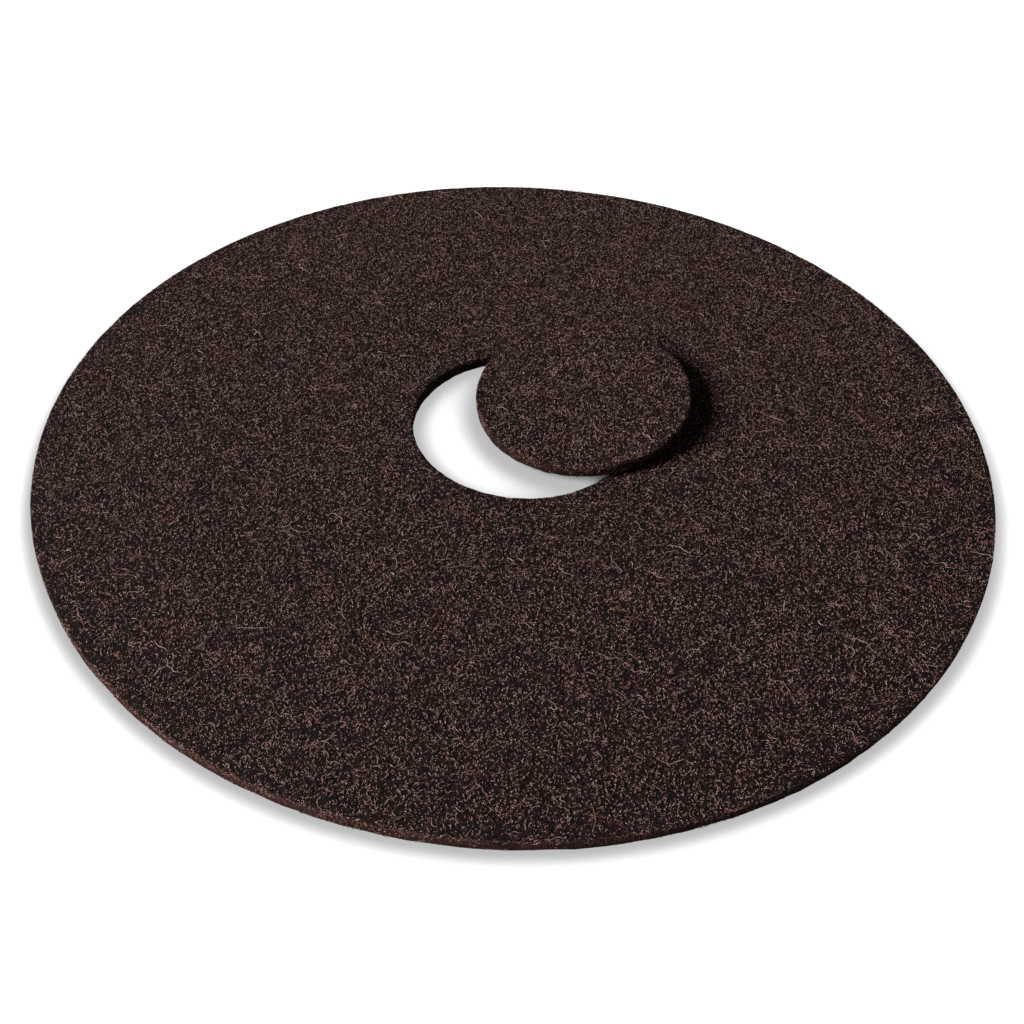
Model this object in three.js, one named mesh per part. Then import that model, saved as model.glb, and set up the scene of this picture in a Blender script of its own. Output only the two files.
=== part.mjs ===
import * as THREE from 'three';

// A thin round floor pad of tangled fibre web, with the disc that was cut from its
// centre shown taken out and leaning in the hole. Millimetres, +Z up. The origin is
// the middle of the pad's underside, on the surface that the pad lies on.

// The pad
const PAD_DIAMETER = 432;
const PAD_THICKNESS = 6.35;
const HOLE_DIAMETER = 102.4;
const EDGE_RADIUS = 1.2;

// The disc from the hole, and how it lies
const CUT_CLEARANCE = 0.4;
const PLUG_SHIFT = 31;
const PLUG_SHIFT_DIRECTION_DEG = 26;
const PLUG_LEAN_DEG = 4.8;
const PLUG_LEAN_DIRECTION_DEG = 40;
const SEAT_GAP = 0.3;

// Steps of the round surfaces
const PAD_SEGMENTS = 120;
const PLUG_SEGMENTS = 72;
const EDGE_STEPS = 3;

const QUARTER_TURN = Math.PI / 2;

const padRadius = PAD_DIAMETER / 2;
const holeRadius = HOLE_DIAMETER / 2;
const plugRadius = holeRadius - CUT_CLEARANCE;

const material = (name, color) => new THREE.MeshStandardMaterial({
  name,
  color,
  roughness: 0.95,
  metalness: 0,
});

// Points of one rounded corner of a section, a quarter circle that starts at startAngle
function roundedCorner(centreX, centreY, startAngle) {
  const points = [];
  for (let step = 0; step <= EDGE_STEPS; step += 1) {
    const angle = startAngle + (QUARTER_TURN * step) / EDGE_STEPS;
    const x = centreX + EDGE_RADIUS * Math.cos(angle);
    const y = centreY + EDGE_RADIUS * Math.sin(angle);
    points.push(new THREE.Vector2(x, y));
  }
  return points;
}

// Outer wall of a section with both of its edges rounded, from the underside up
function outerWall(wallRadius) {
  const cornerX = wallRadius - EDGE_RADIUS;
  return [
    ...roundedCorner(cornerX, EDGE_RADIUS, -QUARTER_TURN),
    ...roundedCorner(cornerX, PAD_THICKNESS - EDGE_RADIUS, 0),
  ];
}

// Wall of the hole with both of its edges rounded, from the top down
function holeWall(wallRadius) {
  const cornerX = wallRadius + EDGE_RADIUS;
  return [
    ...roundedCorner(cornerX, PAD_THICKNESS - EDGE_RADIUS, QUARTER_TURN),
    ...roundedCorner(cornerX, EDGE_RADIUS, 2 * QUARTER_TURN),
  ];
}

// Section turned about the vertical axis
function turned(section, segments) {
  const geometry = new THREE.LatheGeometry(section, segments);
  geometry.rotateX(QUARTER_TURN);
  return geometry;
}

function padRing() {
  const section = [...outerWall(padRadius), ...holeWall(holeRadius)];
  section.push(section[0].clone());
  const ring = new THREE.Mesh(turned(section, PAD_SEGMENTS), material('pad fibre', '#3f2c29'));
  ring.name = 'pad_ring';
  return ring;
}

// The edge of the disc's flat underside crosses the edge of the pad's flat top at two
// points. The disc rests on the lower one, and its low edge hangs into the hole. Here
// +X points the way that the disc rises.
function centrePlug() {
  const section = [
    new THREE.Vector2(0, 0),
    ...outerWall(plugRadius),
    new THREE.Vector2(0, PAD_THICKNESS),
  ];
  const plug = new THREE.Mesh(turned(section, PLUG_SEGMENTS), material('plug fibre', '#422b27'));
  plug.name = 'centre_plug';

  const shiftTurn = THREE.MathUtils.degToRad(PLUG_SHIFT_DIRECTION_DEG - PLUG_LEAN_DIRECTION_DEG);
  const centreX = PLUG_SHIFT * Math.cos(shiftTurn);
  const centreY = PLUG_SHIFT * Math.sin(shiftTurn);

  const seatRadius = holeRadius + EDGE_RADIUS;
  const flatRadius = plugRadius - EDGE_RADIUS;
  const seatReach = (seatRadius ** 2 - flatRadius ** 2 + PLUG_SHIFT ** 2) / (2 * PLUG_SHIFT);
  const seatSpread = Math.acos(seatReach / seatRadius);
  const seatX = seatRadius * Math.cos(Math.abs(shiftTurn) + seatSpread);

  const lean = THREE.MathUtils.degToRad(PLUG_LEAN_DEG);
  const centreHeight = PAD_THICKNESS + SEAT_GAP + Math.tan(lean) * (centreX - seatX);
  plug.position.set(centreX, centreY, centreHeight);
  plug.rotation.y = -lean;

  const leaning = new THREE.Group();
  leaning.rotation.z = THREE.MathUtils.degToRad(PLUG_LEAN_DIRECTION_DEG);
  leaning.add(plug);
  return leaning;
}

const pad = new THREE.Group();
pad.name = 'floor_pad';
pad.add(padRing(), centrePlug());

export default pad;
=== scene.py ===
import math

import bpy
import numpy as np
from mathutils import Matrix, Vector


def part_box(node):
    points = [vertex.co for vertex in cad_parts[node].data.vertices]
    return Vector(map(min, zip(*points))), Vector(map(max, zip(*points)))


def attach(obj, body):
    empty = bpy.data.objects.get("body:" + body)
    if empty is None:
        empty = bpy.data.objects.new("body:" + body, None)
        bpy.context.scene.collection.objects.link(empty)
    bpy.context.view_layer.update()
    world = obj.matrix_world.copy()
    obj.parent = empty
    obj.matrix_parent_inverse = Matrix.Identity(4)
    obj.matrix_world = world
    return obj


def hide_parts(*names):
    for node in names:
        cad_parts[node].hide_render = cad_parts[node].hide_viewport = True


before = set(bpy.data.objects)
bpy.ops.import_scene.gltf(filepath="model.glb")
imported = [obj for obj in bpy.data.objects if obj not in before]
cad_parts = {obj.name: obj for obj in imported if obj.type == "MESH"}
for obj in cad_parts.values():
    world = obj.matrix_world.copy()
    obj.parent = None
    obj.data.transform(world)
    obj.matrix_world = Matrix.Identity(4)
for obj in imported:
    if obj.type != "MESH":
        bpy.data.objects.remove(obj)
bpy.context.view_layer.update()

# Metres. The pad lies on z = 0 with its centre at the origin, the camera looks along +Y.

# Sizes of the two pieces of web
ring_low, ring_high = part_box("pad_ring")
PAD_RADIUS = (ring_high[0] - ring_low[0]) / 2
THICKNESS = ring_high[2] - ring_low[2]
HOLE_RADIUS = 0.0512
CUT_CLEARANCE = 0.0004
PLUG_RADIUS = HOLE_RADIUS - CUT_CLEARANCE
EDGE = 0.0012
UNDER_EDGE = 0.0005

# How the cut disc leans over the hole
PLUG_SHIFT = 0.031
PLUG_SHIFT_DIRECTION = math.radians(26)
PLUG_LEAN = math.radians(4.8)
PLUG_LEAN_DIRECTION = math.radians(40)
SEAT_GAP = 0.0003

# Floor: how far it looks for the object, its white and its glow, how steeply both fall
# close to the object as a painted contact shadow, and the openness from which it is in full
# light or in full painted dark
FLOOR_HALF = 3.0
FLOOR_DROP = 0.0001
FLOOR_REACH = 0.03
FLOOR_WHITE = 0.4
FLOOR_GLOW = (0.50, 0.97)
FLOOR_PAINTED_SHADOW_POWER = 4.2
FLOOR_PAINTED_SHADOW_OPEN = (0.4, 0.92)
FLOOR_PAINTED_DEEP_SHADOW = (0.08, 0.20)

# Light
KEY_PLACE = (-2.9, -0.9, 2.0)
KEY_SIZE = 1.6
KEY_POWER = 164
ROOM_LIGHT = 0.05

# Camera
CAMERA_PLACE = (0.0, -0.4138, 0.3589)
CAMERA_YAW = 0.0501
CAMERA_PITCH = 0.7643
CAMERA_ROLL = 0.0725
CAMERA_LENS = 40.9
CAMERA_SHIFT = (-0.0501, -0.0207)

# Fibres: width, highest level, the wave in their depth, how far the lowest ones and the
# ends of each one lie in, and their roll about their own length
FIBRE_WIDTH = 0.00027
FIBRE_WIDTHS = (0.75, 1.25)
CUT_FIBRE_WIDTHS = (0.7, 1.1)
STRAY_WIDTH = 0.75
FIBRE_TAPER = 0.6
FIBRE_TOP = 0.00012
FIBRE_LOWEST = 0.8
FIBRE_WAVE = 0.16
FIBRE_WAVE_LENGTHS = (0.004, 0.012)
FIBRE_DIVE = 0.5
FIBRE_END = 0.0006
ROLL = 0.45
TWIST = 0.12
SEED = 20

# Curl of the longer fibres: shortest and longest swing and its share of the curl, then
# the steady turn in a metre
CURL = 0.9
SWINGS = ((0.003, 0.006, 1.0), (0.008, 0.02, 0.8))
STEADY_TURN = 90 * CURL

# Kinds of longer fibre: points, step between them, and number in a square millimetre
SHORT_FIBRES = (5, 0.0007, 0.06)
LONG_FIBRES = (14, 0.0009, 0.010)
UNDER_FIBRES = (6, 0.0010, 0.03)

# Openings between the fibres: their spacing, their radii, and the short fibres that
# bend around each of them, with the angles that these turn through
OPENING_STEP = 0.0013
OPENING_JITTER = (0.15, 0.85)
OPENING_RADII = (0.00034, 0.00060)
BENDS = 2
BEND_START = 0.4
BEND_TURN = (1.6, 2.9)
BEND_WIDENING = (-0.3, 0.7)
BEND_POINTS = 3

# Shade of a fibre: steps from dark to light, the darker steps painted shade for depth in the
# tangle, random spread about its level, size of the lighter and of the tinted patches, and from
# where a patch is olive or red-brown
SHADE_STEPS = (0.3, 0.45, 0.7)
SHADE_SPREAD = 0.12
SHADE_PATCHES = 0.04
LIGHT_PATCHES = (0.006, 0.02)
TINT_PATCHES = (0.012, 0.06)
TINT_SPREAD = 0.8
OLIVE_ABOVE = 1.1
RED_BROWN_BELOW = -1.3
PALE_SHARE = 0.004

# Where fibres may lie: past the face before sorting, down a wall from the face as a share
# of the thickness, off the middle of a face without a hole, and off both ends of a wall
FACE_OVERRUN = 0.002
FACE_WALL_SHARE = 0.3
CENTRE_CLEAR = 0.0005
WALL_CLEAR = 0.0002

# Depth of the close web under the loose fibres, and its uneven skin
FACE_SINK = 0.0009
UNDER_SINK = 0.0005
WALL_SINK = 0.0003
LEAST_SINK = 0.0001
EDGE_BLEND = 0.003
LUMPS = (0.004, 0.012)
LUMP_HEIGHT = 0.00010
SWELLS = (0.02, 0.05)
SWELL_HEIGHT = 0.00006

# Rings and turns of the close web's skin, and the number of pieces for the pad's top
PAD_RING_STEP = 0.005
PAD_TURNS = 240
PLUG_RING_STEP = 0.002
PLUG_TURNS = 150
TOP_PIECES = 4


def plug_matrix():
    """Place of the cut disc: its own frame has +Z through it, its underside at 0."""
    turn = PLUG_SHIFT_DIRECTION - PLUG_LEAN_DIRECTION
    centre_x = PLUG_SHIFT * math.cos(turn)
    centre_y = PLUG_SHIFT * math.sin(turn)
    seat_radius = HOLE_RADIUS + EDGE
    flat_radius = PLUG_RADIUS - EDGE
    seat_reach = (seat_radius ** 2 - flat_radius ** 2 + PLUG_SHIFT ** 2) / (2 * PLUG_SHIFT)
    seat_spread = math.acos(seat_reach / seat_radius)
    seat_x = seat_radius * math.cos(abs(turn) + seat_spread)
    height = THICKNESS + SEAT_GAP + math.tan(PLUG_LEAN) * (centre_x - seat_x)
    place = Matrix.Translation((centre_x, centre_y, height))
    lean = Matrix.Rotation(-PLUG_LEAN, 4, "Y")
    return Matrix.Rotation(PLUG_LEAN_DIRECTION, 4, "Z") @ place @ lean


class Ripples:
    """A smooth random field over a plane, about -2 to 2, made of straight waves."""

    def __init__(self, rng, shortest, longest, count=48):
        length = rng.uniform(shortest, longest, count)
        angle = rng.uniform(0, 2 * math.pi, count)
        self.along_x = 2 * math.pi * np.cos(angle) / length
        self.along_y = 2 * math.pi * np.sin(angle) / length
        self.phase = rng.uniform(0, 2 * math.pi, count)
        self.scale = math.sqrt(2 / count)

    def at(self, x, y):
        total = np.zeros(np.shape(x))
        for along_x, along_y, phase in zip(self.along_x, self.along_y, self.phase):
            total += np.cos(along_x * x + along_y * y + phase)
        return total * self.scale


def openings(rng, width, height):
    """Middles of the openings on a loose grid over a width and a height, from 0, 0."""
    columns = np.arange(0, width, OPENING_STEP)
    rows = np.arange(0, height, OPENING_STEP)
    x, y = (grid.ravel() for grid in np.meshgrid(columns, rows))
    x = x + rng.uniform(*OPENING_JITTER, x.shape) * OPENING_STEP
    y = y + rng.uniform(*OPENING_JITTER, y.shape) * OPENING_STEP
    return x, y


def bends(rng, x, y):
    """Short fibres that bend around the openings at x, y, as two (n, points) arrays."""
    share = np.linspace(0, 1, BEND_POINTS)
    first = rng.uniform(0, 2 * math.pi, len(x))
    found_x, found_y = [], []
    for number in range(BENDS):
        start = first + 2 * math.pi * number / BENDS + rng.normal(0, BEND_START, len(x))
        turn = rng.uniform(*BEND_TURN, len(x))
        angle = start[:, None] + turn[:, None] * share
        radius = rng.uniform(*OPENING_RADII, (len(x), 1))
        widening = rng.uniform(*BEND_WIDENING, (len(x), 1))
        reach = radius * (1 + widening * share)
        found_x.append(x[:, None] + reach * np.cos(angle))
        found_y.append(y[:, None] + reach * np.sin(angle))
    return np.concatenate(found_x), np.concatenate(found_y)


class Web:
    """The skin of a flat round piece of web: where a point of the unrolled skin lies.

    The unrolled skin is the top face, or the underside, with the cut walls laid out
    flat beyond its edges. depth is measured inwards from the skin."""

    def __init__(self, radius, hole=None, matrix=None):
        self.radius = radius
        self.hole = hole
        self.matrix = matrix

    def bend(self, past, depth, edge):
        """Outward and downward travel, and the normal, past units beyond the flat face."""
        angle = np.clip(past / edge, 0, math.pi / 2)
        down = np.maximum(past - edge * math.pi / 2, 0)
        out = (edge - depth) * np.sin(angle)
        drop = edge - (edge - depth) * np.cos(angle) + down
        return out, drop, np.sin(angle), np.cos(angle)

    def place(self, x, y, depth, under=False):
        """Points and outward normals of unrolled points x, y."""
        span = np.maximum(np.hypot(x, y), 1e-6)
        edge = UNDER_EDGE if under else EDGE
        flat = self.radius - edge
        out, drop, side, face = self.bend(span - flat, depth, edge)
        radius = np.where(span > flat, flat + out, span)
        drop = np.where(span > flat, drop, depth)
        side = np.where(span > flat, side, 0.0)
        face = np.where(span > flat, face, 1.0)
        if self.hole:
            inner = self.hole + edge
            inward, drop_in, side_in, face_in = self.bend(inner - span, depth, edge)
            radius = np.where(span < inner, inner - inward, radius)
            drop = np.where(span < inner, drop_in, drop)
            side = np.where(span < inner, -side_in, side)
            face = np.where(span < inner, face_in, face)
        cos, sin = x / span, y / span
        height = drop if under else THICKNESS - drop
        up = -face if under else face
        points = np.stack([radius * cos, radius * sin, height], -1)
        normals = np.stack([side * cos, side * sin, up], -1)
        return self.moved(points, normals)

    def sink(self, span, deep):
        """Depth of the close web: deep on the face, less towards the edges and walls."""
        inside = self.radius - EDGE - span
        if self.hole:
            inside = np.minimum(inside, span - self.hole - EDGE)
        return WALL_SINK + (deep - WALL_SINK) * np.clip(inside / EDGE_BLEND, 0, 1)

    def wall(self, along, height, depth, inner=False):
        """Points and outward normals on a cut wall, along the rim and up it."""
        radius = self.hole if inner else self.radius
        turn = along / radius
        cos, sin = np.cos(turn), np.sin(turn)
        outward = -1.0 if inner else 1.0
        reach = radius - outward * depth
        points = np.stack([reach * cos, reach * sin, height], -1)
        normals = np.stack([outward * cos, outward * sin, np.zeros(np.shape(cos))], -1)
        return self.moved(points, normals)

    def moved(self, points, normals):
        """Points and normals put in the piece's own place."""
        if self.matrix is None:
            return points, normals
        matrix = np.array(self.matrix)
        return points @ matrix[:3, :3].T + matrix[:3, 3], normals @ matrix[:3, :3].T


def new_mesh(name, points, faces, materials, slots=None, smooth=True):
    """An object from numpy arrays: points (n, 3) and faces, a list of (m, k) arrays."""
    mesh = bpy.data.meshes.new(name)
    mesh.vertices.add(len(points))
    mesh.vertices.foreach_set("co", np.asarray(points, np.float32).ravel())
    sizes = np.concatenate([np.full(len(f), f.shape[1], np.int32) for f in faces])
    corners = np.concatenate([f.ravel() for f in faces]).astype(np.int32)
    starts = np.concatenate([[0], np.cumsum(sizes)[:-1]]).astype(np.int32)
    mesh.loops.add(len(corners))
    mesh.loops.foreach_set("vertex_index", corners)
    mesh.polygons.add(len(sizes))
    mesh.polygons.foreach_set("loop_start", starts)
    mesh.polygons.foreach_set("loop_total", sizes)
    mesh.polygons.foreach_set("use_smooth", np.full(len(sizes), smooth))
    for material in materials:
        mesh.materials.append(material)
    if slots is not None:
        mesh.polygons.foreach_set("material_index", slots.astype(np.int32))
    mesh.update(calc_edges=True)
    mesh.validate()
    piece = bpy.data.objects.new(name, mesh)
    bpy.context.collection.objects.link(piece)
    return piece


def paths(rng, x, y, count, step):
    """Curly paths of count points from each start, as two (n, count) arrays."""
    starts = len(x)
    along = np.arange(count) * step
    heading = rng.uniform(0, 2 * math.pi, starts)[:, None] + np.zeros(count)
    for shortest, longest, share in SWINGS:
        length = rng.uniform(shortest, longest, (starts, 1))
        swing = rng.normal(0, CURL * share, (starts, 1))
        phase = rng.uniform(0, 2 * math.pi, (starts, 1))
        heading = heading + swing * np.sin(2 * math.pi * along / length + phase)
    heading = heading + rng.normal(0, STEADY_TURN, (starts, 1)) * along
    step_x = np.cos(heading[:, :-1]) * step
    step_y = np.sin(heading[:, :-1]) * step
    zero = np.zeros((starts, 1))
    run_x = np.concatenate([zero, np.cumsum(step_x, 1)], 1)
    run_y = np.concatenate([zero, np.cumsum(step_y, 1)], 1)
    return x[:, None] + run_x, y[:, None] + run_y


def depths(rng, x, y, buried, room):
    """Depth along each path: its own level, a slow wave, and ends that dive in.

    buried is 0 for the topmost paths and 1 for the lowest, room is the depth there."""
    starts = len(buried)
    steps = np.hypot(np.diff(x, axis=1), np.diff(y, axis=1))
    along = np.concatenate([np.zeros((starts, 1)), np.cumsum(steps, 1)], 1)
    length = rng.uniform(*FIBRE_WAVE_LENGTHS, (starts, 1))
    phase = rng.uniform(0, 2 * math.pi, (starts, 1))
    level = FIBRE_TOP + buried[:, None] * (FIBRE_LOWEST * room - FIBRE_TOP)
    wave = FIBRE_WAVE * room * np.sin(2 * math.pi * along / length + phase)
    to_end = np.minimum(along, along[:, -1:] - along)
    ends = FIBRE_DIVE * room * np.clip(1 - to_end / FIBRE_END, 0, 1)
    return np.maximum(level + wave, FIBRE_TOP) + ends


class Strands:
    """Collects fibres, and makes one object of them with a material for each shade.

    A fibre is a narrow strip that rolls about its own length."""

    def __init__(self, name, materials):
        self.name = name
        self.materials = materials
        self.points = []
        self.quads = []
        self.slots = []
        self.used = 0

    def add(self, rng, points, normals, width, shade):
        """One strip along each row of points, with its width and the number of its shade."""
        starts, count, _ = points.shape
        ahead = np.gradient(points, axis=1)
        ahead /= np.linalg.norm(ahead, axis=2, keepdims=True) + 1e-12
        side = np.cross(ahead, normals)
        side /= np.linalg.norm(side, axis=2, keepdims=True) + 1e-12
        out = np.cross(side, ahead)
        roll = rng.normal(0, ROLL, (starts, 1))
        turn = roll + rng.normal(0, TWIST, (starts, 1)) * np.arange(count)
        across = np.cos(turn)[..., None] * side + np.sin(turn)[..., None] * out
        half = (width[:, None] / 2 * taper(count))[..., None] * across
        vertices = np.stack([points - half, points + half], 2).reshape(-1, 3)
        index = np.arange(starts * count * 2).reshape(starts, count, 2) + self.used
        quads = np.stack([index[:, :-1, 0], index[:, 1:, 0], index[:, 1:, 1], index[:, :-1, 1]], -1)
        self.points.append(vertices)
        self.quads.append(quads.reshape(-1, 4))
        self.slots.append(np.repeat(shade, count - 1))
        self.used += len(vertices)

    def make(self):
        slots = np.concatenate(self.slots)
        points = np.concatenate(self.points)
        return new_mesh(self.name, points, [np.concatenate(self.quads)], self.materials, slots)


def taper(count):
    """Width along a fibre: full, and narrower at both ends."""
    across = np.linspace(-1, 1, count)
    return 1 - FIBRE_TAPER * across ** 6


def shader(name, roughness=0.6):
    """A new material and its shader node."""
    material = bpy.data.materials.new(name)
    material.use_nodes = True
    principled = material.node_tree.nodes["Principled BSDF"]
    principled.inputs["Roughness"].default_value = roughness
    return material, principled


def node(material, kind, **values):
    """A new node with its settings and inputs: _ stands for the space in an input's name."""
    made = material.node_tree.nodes.new(kind)
    for key, value in values.items():
        if hasattr(made, key):
            setattr(made, key, value)
        else:
            made.inputs[key.replace("_", " ")].default_value = value
    return made


def link(material, start, end):
    material.node_tree.links.new(start, end)


def linear(red, green, blue):
    """Scene colour of a display colour given as 0 to 255."""
    def channel(value):
        value /= 255
        return value / 12.92 if value <= 0.04045 else ((value + 0.055) / 1.055) ** 2.4
    return (channel(red), channel(green), channel(blue), 1.0)


def stretched(material, value, start, end, low=0.0, high=1.0):
    """A socket whose range from start to end is stretched to low to high."""
    spread = node(material, "ShaderNodeMapRange", From_Min=start, From_Max=end,
                  To_Min=low, To_Max=high)
    link(material, value, spread.inputs["Value"])
    return spread.outputs["Result"]


def multiplied(material, value, factor):
    """A socket times another socket or a number."""
    product = node(material, "ShaderNodeMath", operation="MULTIPLY")
    link(material, value, product.inputs[0])
    if isinstance(factor, float):
        product.inputs[1].default_value = factor
    else:
        link(material, factor, product.inputs[1])
    return product.outputs[0]


def blended(material, factor, start, end):
    """A colour between start and end, each a colour or a socket."""
    mix = node(material, "ShaderNodeMix", data_type="RGBA")
    link(material, factor, mix.inputs["Factor"])
    for key, value in (("A", start), ("B", end)):
        socket = next(s for s in mix.inputs if s.name == key and s.type == "RGBA")
        if isinstance(value, tuple):
            socket.default_value = linear(*value)
        else:
            link(material, value, socket)
    return next(s for s in mix.outputs if s.type == "RGBA")


def fibre_material(name, colour):
    """A coated fibre: one shade, with a gritty broken gloss."""
    material, principled = shader(name)
    principled.inputs["Base Color"].default_value = linear(*colour)
    principled.inputs["Specular IOR Level"].default_value = 0.25
    place = node(material, "ShaderNodeTexCoord")
    grit = node(material, "ShaderNodeTexNoise", Scale=2600.0, Detail=2.0)
    link(material, place.outputs["Object"], grit.inputs["Vector"])
    gloss = stretched(material, grit.outputs["Fac"], 0.0, 1.0, 0.45, 0.8)
    link(material, gloss, principled.inputs["Roughness"])
    return material


def curls(material, place, scale, offset, width):
    """Thin curly lines, 1 on a line and 0 beside it, broken where they dive under others."""
    moved = node(material, "ShaderNodeVectorMath", operation="ADD")
    moved.inputs[1].default_value = (offset, 0.7 * offset, 0.3 * offset)
    link(material, place, moved.inputs[0])

    # A line follows the middle level of a smooth noise
    bent = node(material, "ShaderNodeTexNoise", Scale=scale, Detail=1.0, Distortion=0.8)
    level = node(material, "ShaderNodeMath", operation="SUBTRACT")
    level.inputs[1].default_value = 0.5
    size = node(material, "ShaderNodeMath", operation="ABSOLUTE")
    link(material, moved.outputs["Vector"], bent.inputs["Vector"])
    link(material, bent.outputs["Fac"], level.inputs[0])
    link(material, level.outputs[0], size.inputs[0])
    line = stretched(material, size.outputs[0], 0.3 * width, width, 1.0, 0.0)

    # A coarser noise hides parts of it
    cover = node(material, "ShaderNodeTexNoise", Scale=0.45 * scale, Detail=0.0)
    link(material, moved.outputs["Vector"], cover.inputs["Vector"])
    shown = stretched(material, cover.outputs["Fac"], 0.40, 0.50)
    return multiplied(material, line, shown)


# Layers of strands in the close web, from the deepest up, the deeper ones darker as painted
# shade: scale, width and height of the lines, then their colour on the faces and on the cut walls
LAYERS = (
    (1300.0, 0.05, 0.40, (28, 16, 14), (84, 58, 52)),
    (1500.0, 0.05, 0.60, (44, 29, 25), (100, 70, 63)),
    (1200.0, 0.05, 0.80, (64, 44, 39), (116, 83, 75)),
    (1600.0, 0.05, 1.00, (84, 59, 53), (132, 96, 88)),
)
LAYER_OFFSET = 3.7
# Near-black between the strands of the faces: painted shade of the deep web
PAINTED_SHADE_GAP = (8, 3, 2)

# Dark gaps in the cut walls, painted shade between their strands and darker on the disc, and how
# far their strands go from the faces' colours to their own
PAD_CUT = ((66, 40, 34), 1.0)
PLUG_CUT = ((34, 20, 17), 0.45)


def between(first, second, share):
    """The colour at a share of the way from the first to the second."""
    return tuple(start + (end - start) * share for start, end in zip(first, second))


def web_material(name, cut_gap_painted_shade, cut_share):
    """The close web under the loose fibres: layers of curly strands, darker with depth as painted
    shade, over near-black gaps of painted shade.
    """
    material, principled = shader(name, 0.75)
    principled.inputs["Specular IOR Level"].default_value = 0.2
    place = node(material, "ShaderNodeTexCoord")
    face, cut, height = PAINTED_SHADE_GAP, cut_gap_painted_shade, None
    for number, (scale, width, level, strand, cut_strand) in enumerate(LAYERS):
        line = curls(material, place.outputs["Object"], scale, LAYER_OFFSET * number, width)
        face = blended(material, line, face, strand)
        cut = blended(material, line, cut, between(strand, cut_strand, cut_share))
        raised = multiplied(material, line, level)
        if height is None:
            height = raised
            continue
        highest = node(material, "ShaderNodeMath", operation="MAXIMUM")
        link(material, height, highest.inputs[0])
        link(material, raised, highest.inputs[1])
        height = highest.outputs[0]

    # The cut walls are redder and lighter than the faces, whose deep web carries painted shade
    normal = node(material, "ShaderNodeSeparateXYZ")
    upright = node(material, "ShaderNodeMath", operation="ABSOLUTE")
    link(material, place.outputs["Normal"], normal.inputs[0])
    link(material, normal.outputs["Z"], upright.inputs[0])
    wall = stretched(material, upright.outputs[0], 0.35, 0.8, 1.0, 0.0)
    link(material, blended(material, wall, face, cut), principled.inputs["Base Color"])

    bump = node(material, "ShaderNodeBump", Strength=1.0, Distance=0.0004)
    link(material, height, bump.inputs["Height"])
    link(material, bump.outputs["Normal"], principled.inputs["Normal"])
    return material


# From the darkest of the tangle up, lit and painted-shade copies of one fibre picked by depth,
# then the tinted ones and the few pale strays
FACE_SHADES = (
    fibre_material("fibre_dark", (30, 17, 14)),
    fibre_material("fibre_umber", (88, 59, 53)),
    fibre_material("fibre_brown", (149, 110, 101)),
    fibre_material("fibre_grey_brown", (182, 144, 134)),
    fibre_material("fibre_olive", (142, 108, 91)),
    fibre_material("fibre_red_brown", (152, 101, 93)),
    fibre_material("fibre_pale", (205, 182, 172)),
)
UMBER, BROWN, OLIVE, RED_BROWN, PALE = 1, 2, 4, 5, 6
CUT_SHADES = (
    fibre_material("cut_dark", (62, 38, 33)),
    fibre_material("cut_umber", (104, 73, 66)),
    fibre_material("cut_red_brown", (144, 98, 88)),
    fibre_material("cut_rust", (172, 120, 108)),
)
PAD_WEB = web_material("pad_web", *PAD_CUT)
PLUG_WEB = web_material("plug_web", *PLUG_CUT)


def web_section(web, ring_step):
    """The rings of the close web's skin, once around its section from the middle of the top.

    Each is its radius on the unrolled skin, and whether it is part of the underside."""
    flat, inner, spans, beyond = {}, {}, {}, {}
    for under, edge in ((False, EDGE), (True, UNDER_EDGE)):
        flat[under] = web.radius - edge
        inner[under] = web.hole + edge if web.hole else 0.0
        rings = max(2, round((flat[under] - inner[under]) / ring_step))
        spans[under] = np.linspace(inner[under], flat[under], rings)
        beyond[under] = np.linspace(0, edge * math.pi / 2, 5)[1:]
    walls = (THICKNESS - EDGE - UNDER_EDGE) * np.array([0.25, 0.5, 0.75])
    section = [(span, False) for span in spans[False]]
    section += [(flat[False] + past, False) for past in beyond[False]]
    section += [(flat[False] + beyond[False][-1] + down, False) for down in walls]
    section += [(flat[True] + past, True) for past in beyond[True][::-1]]
    section += [(span, True) for span in spans[True][::-1]]
    if web.hole:
        section += [(inner[True] - past, True) for past in beyond[True]]
        section += [(inner[False] - beyond[False][-1] - down, False) for down in walls[::-1]]
        section += [(inner[False] - past, False) for past in beyond[False][::-1]]
    return section


def bands(rings, following):
    """Faces between each ring of point numbers and the ring that follows it."""
    faces = np.stack([rings, following, np.roll(following, -1, 1), np.roll(rings, -1, 1)], -1)
    return faces.reshape(-1, 4)


def web_body(name, web, rng, ring_step, turns, material):
    """The close web inside the loose fibres, as one turned and lumpy closed skin."""
    lumps = Ripples(rng, *LUMPS)
    swells = Ripples(rng, *SWELLS)
    angle = np.arange(turns) * 2 * math.pi / turns
    rings = []
    for span, under in web_section(web, ring_step):
        x, y = span * np.cos(angle), span * np.sin(angle)
        level = lumps.at(x, y) * LUMP_HEIGHT + swells.at(x, y) * SWELL_HEIGHT
        sink = web.sink(span, UNDER_SINK if under else FACE_SINK)
        points, _ = web.place(x, y, np.maximum(sink - level, LEAST_SINK), under)
        rings.append(points)
    if web.hole:
        index = np.arange(len(rings) * turns).reshape(len(rings), turns)
        faces = [bands(index, np.roll(index, -1, axis=0))]
        return new_mesh(name, np.concatenate(rings), faces, [material])

    # Without a hole the first and the last ring are single points
    rings = rings[1:-1]
    middle = np.zeros(1)
    centre_top, _ = web.place(middle, middle, middle + FACE_SINK)
    centre_low, _ = web.place(middle, middle, middle + UNDER_SINK, True)
    points = np.concatenate(rings + [centre_top, centre_low])
    index = np.arange(len(rings) * turns).reshape(len(rings), turns)
    top = np.full(turns, len(points) - 2)
    low = np.full(turns, len(points) - 1)
    caps = np.concatenate([
        np.stack([top, index[0], np.roll(index[0], -1)], -1),
        np.stack([low, np.roll(index[-1], -1), index[-1]], -1),
    ])
    return new_mesh(name, points, [bands(index[:-1], index[1:]), caps], [material])


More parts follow.
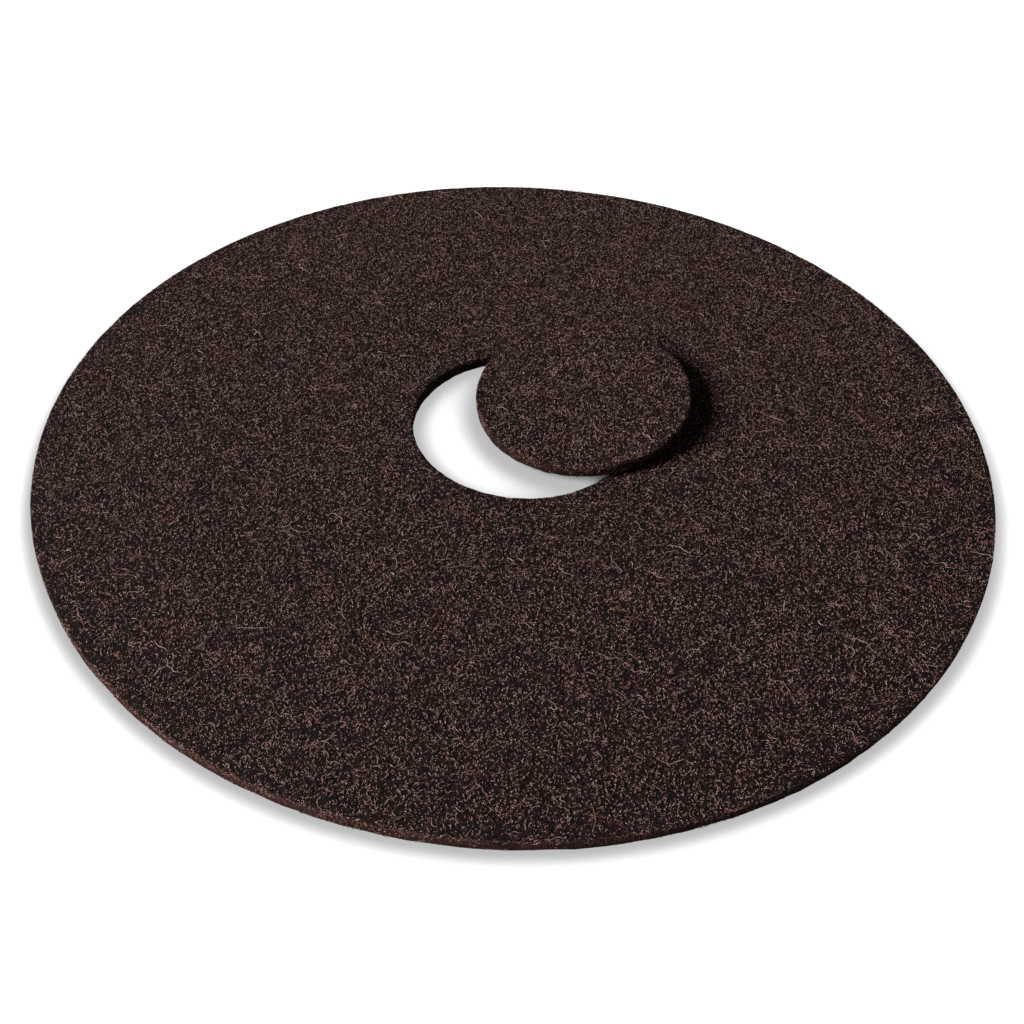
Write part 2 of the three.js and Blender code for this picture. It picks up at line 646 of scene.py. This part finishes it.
def scattered(rng, count, inner, outer):
    """Evenly but loosely spread points between two radii, as x and y."""
    share = (np.arange(count) + rng.random(count)) / count
    span = np.sqrt(inner ** 2 + share * (outer ** 2 - inner ** 2))
    spacing = math.sqrt(math.pi * (outer ** 2 - inner ** 2) / count)
    angle = np.arange(count) * math.pi * (3 - math.sqrt(5))
    x = span * np.cos(angle) + rng.uniform(-0.5, 0.5, count) * spacing
    y = span * np.sin(angle) + rng.uniform(-0.5, 0.5, count) * spacing
    return x, y


def kept(web, x, y):
    """Which paths stay on the face and the upper part of the walls."""
    span = np.hypot(x, y)
    reach = EDGE * math.pi / 2 + FACE_WALL_SHARE * THICKNESS
    good = (span < web.radius - EDGE + reach).all(1)
    if web.hole:
        good &= (span > web.hole + EDGE - reach).all(1)
    else:
        good &= (span > CENTRE_CLEAR).all(1)
    return good


def fibre_sets(rng, web, under):
    """The paths of all the fibres of a face, one pair of x and y for each kind."""
    outer = web.radius + FACE_OVERRUN
    inner = web.hole - FACE_OVERRUN if web.hole else 0.0
    area = math.pi * (outer ** 2 - inner ** 2) * 1e6
    sets = []
    if not under:
        x, y = openings(rng, 2 * outer, 2 * outer)
        sets.append(bends(rng, x - outer, y - outer))
    for count, step, density in (UNDER_FIBRES,) if under else (SHORT_FIBRES, LONG_FIBRES):
        x, y = scattered(rng, int(area * density), inner, outer)
        sets.append(paths(rng, x, y, count, step))
    return sets


def fibre_shades(rng, patches, x, y, buried):
    """Shades: lighter towards the top as painted shade for depth, tinted in patches, and a few pale
    ones.
    """
    number = len(buried)
    painted_depth_shade_and_tone = 1 - buried + rng.normal(0, SHADE_SPREAD, number)
    shade = np.digitize(painted_depth_shade_and_tone + SHADE_PATCHES * patches[0].at(x, y), SHADE_STEPS)
    tint = patches[1].at(x, y) + rng.normal(0, TINT_SPREAD, number)
    middling = np.isin(shade, (UMBER, BROWN))
    shade = np.where(middling & (tint > OLIVE_ABOVE), OLIVE, shade)
    shade = np.where(middling & (tint < RED_BROWN_BELOW), RED_BROWN, shade)
    return np.where(rng.random(number) < PALE_SHARE, PALE, shade)


def face_fibres(group, rng, web, patches, under=False):
    """Loose curly fibres over a whole face, shared out among a group of strands."""
    for x, y in fibre_sets(rng, web, under):
        good = kept(web, x, y)
        x, y = x[good], y[good]
        number, count = x.shape
        buried = rng.random(number)
        room = web.sink(np.hypot(x, y), UNDER_SINK if under else FACE_SINK)
        points, normals = web.place(x, y, depths(rng, x, y, buried, room), under)
        thin = STRAY_WIDTH if count > BEND_POINTS else 1.0
        width = thin * FIBRE_WIDTH * rng.uniform(*FIBRE_WIDTHS, number)
        # Deeper fibres take darker shades: painted shade for their depth
        shade = fibre_shades(rng, patches, x[:, 0], y[:, 0], buried)
        for first, strands in enumerate(group):
            part = slice(first, None, len(group))
            strands.add(rng, points[part], normals[part], width[part], shade[part])


def wall_fibres(strands, rng, web, inner=False):
    """Short cut fibres on a wall."""
    radius = web.hole if inner else web.radius
    along, height = bends(rng, *openings(rng, 2 * math.pi * radius, THICKNESS))
    good = ((height > WALL_CLEAR) & (height < THICKNESS - WALL_CLEAR)).all(1)
    along, height = along[good], height[good]
    depth = depths(rng, along, height, rng.random(len(along)), WALL_SINK)
    for near, edge in ((THICKNESS - height, EDGE), (height, UNDER_EDGE)):
        short = np.clip(edge - near, 0, edge)
        depth = depth + edge - np.sqrt(edge ** 2 - short ** 2)
    points, normals = web.wall(along, height, depth, inner)
    width = FIBRE_WIDTH * rng.uniform(*CUT_FIBRE_WIDTHS, len(along))
    strands.add(rng, points, normals, width, rng.integers(0, len(CUT_SHADES), len(along)))


def owned(pieces, node_name):
    """Each piece stands for a CAD node, which is hidden, and hangs from the root body."""
    for piece in pieces:
        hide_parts(node_name)
        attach(piece, "root")


def build_pad():
    """The pad's close web, and its fibres on the faces, the rim and the hole's wall."""
    rng = np.random.default_rng(SEED)
    web = Web(PAD_RADIUS, HOLE_RADIUS)
    body = web_body("pad_web", web, rng, PAD_RING_STEP, PAD_TURNS, PAD_WEB)
    patches = (Ripples(rng, *LIGHT_PATCHES), Ripples(rng, *TINT_PATCHES))
    top = [Strands(f"pad_top_fibres_{number + 1}", FACE_SHADES) for number in range(TOP_PIECES)]
    face_fibres(top, rng, web, patches)
    under = Strands("pad_under_fibres", FACE_SHADES)
    face_fibres([under], rng, web, patches, under=True)
    rim = Strands("pad_rim_fibres", CUT_SHADES)
    wall_fibres(rim, rng, web)
    wall_fibres(rim, rng, web, inner=True)
    made = [body] + [strands.make() for strands in (*top, under, rim)]
    owned(made, "pad_ring")


def build_plug():
    """The disc's close web and its fibres."""
    rng = np.random.default_rng(SEED + 1)
    web = Web(PLUG_RADIUS, matrix=plug_matrix())
    body = web_body("plug_web", web, rng, PLUG_RING_STEP, PLUG_TURNS, PLUG_WEB)
    patches = (Ripples(rng, *LIGHT_PATCHES), Ripples(rng, *TINT_PATCHES))
    faces = Strands("plug_fibres", FACE_SHADES)
    face_fibres([faces], rng, web, patches)
    face_fibres([faces], rng, web, patches, under=True)
    rim = Strands("plug_rim_fibres", CUT_SHADES)
    wall_fibres(rim, rng, web)
    made = [body, faces.make(), rim.make()]
    owned(made, "centre_plug")


def floor():
    """A white floor, with a painted contact shadow that greys it a little close to the pad."""
    material, principled = shader("floor", 0.9)
    principled.inputs["Specular IOR Level"].default_value = 0.0
    principled.inputs["Emission Color"].default_value = (1, 1, 1, 1)
    near = node(material, "ShaderNodeAmbientOcclusion", samples=16, Distance=FLOOR_REACH)
    # Painted contact shadow: the floor's white and glow fall with its openness near the pad
    shade = node(material, "ShaderNodeMath", operation="POWER")
    shade.inputs[1].default_value = FLOOR_PAINTED_SHADOW_POWER
    link(material, stretched(material, near.outputs["AO"], *FLOOR_PAINTED_SHADOW_OPEN), shade.inputs[0])
    white = multiplied(material, shade.outputs[0], FLOOR_WHITE)
    link(material, white, principled.inputs["Base Color"])

    # The glow is for the camera alone, and goes out as painted dark shadow where the floor is
    # nearly closed in
    glow_with_painted_shadow = stretched(material, shade.outputs[0], 0.0, 1.0, *FLOOR_GLOW)
    deep = stretched(material, near.outputs["AO"], *FLOOR_PAINTED_DEEP_SHADOW)
    seen = node(material, "ShaderNodeLightPath").outputs["Is Camera Ray"]
    strength = multiplied(material, multiplied(material, glow_with_painted_shadow, deep), seen)
    link(material, strength, principled.inputs["Emission Strength"])

    half, low = FLOOR_HALF, -FLOOR_DROP
    corners = [(-half, -half, low), (half, -half, low), (half, half, low), (-half, half, low)]
    made = new_mesh("floor", corners, [np.array([[0, 1, 2, 3]])], [material], smooth=False)


def lamp(name, place, target, size, power):
    """A round soft lamp that points at its target."""
    data = bpy.data.lights.new(name, "AREA")
    data.shape = "DISK"
    data.size = size
    data.energy = power
    made = bpy.data.objects.new(name, data)
    made.location = place
    made.rotation_mode = "QUATERNION"
    made.rotation_quaternion = (Vector(target) - Vector(place)).to_track_quat("-Z", "Y")
    bpy.context.collection.objects.link(made)


def lights():
    """One large lamp from the left, and a room that is white to the camera and dim otherwise."""
    lamp("key", KEY_PLACE, (0, 0, 0), KEY_SIZE, KEY_POWER)
    world = bpy.data.worlds.new("studio")
    world.use_nodes = True
    bpy.context.scene.world = world
    nodes = world.node_tree.nodes
    background = nodes["Background"]
    seen = nodes.new("ShaderNodeLightPath")
    strength = nodes.new("ShaderNodeMapRange")
    strength.inputs["To Min"].default_value = ROOM_LIGHT
    strength.inputs["To Max"].default_value = 1.0
    background.inputs["Color"].default_value = (1, 1, 1, 1)
    world.node_tree.links.new(seen.outputs["Is Camera Ray"], strength.inputs["Value"])
    world.node_tree.links.new(strength.outputs["Result"], background.inputs["Strength"])


def camera():
    """The camera, placed and turned by its yaw, its pitch down and its roll."""
    data = bpy.data.cameras.new("camera")
    data.lens = CAMERA_LENS
    data.sensor_width = 36
    data.shift_x, data.shift_y = CAMERA_SHIFT
    data.dof.use_dof = False
    made = bpy.data.objects.new("camera", data)
    ahead = Vector((
        math.sin(CAMERA_YAW) * math.cos(CAMERA_PITCH),
        math.cos(CAMERA_YAW) * math.cos(CAMERA_PITCH),
        -math.sin(CAMERA_PITCH),
    ))
    right = Vector((math.cos(CAMERA_YAW), -math.sin(CAMERA_YAW), 0))
    up = right.cross(ahead)
    turned_right = right * math.cos(CAMERA_ROLL) + up * math.sin(CAMERA_ROLL)
    turned_up = up * math.cos(CAMERA_ROLL) - right * math.sin(CAMERA_ROLL)
    turn = Matrix((turned_right, turned_up, -ahead)).transposed().to_4x4()
    made.matrix_world = Matrix.Translation(CAMERA_PLACE) @ turn
    bpy.context.collection.objects.link(made)
    bpy.context.scene.camera = made


camera()
build_pad()
build_plug()
floor()
lights()
bpy.context.scene.view_settings.view_transform = "Standard"
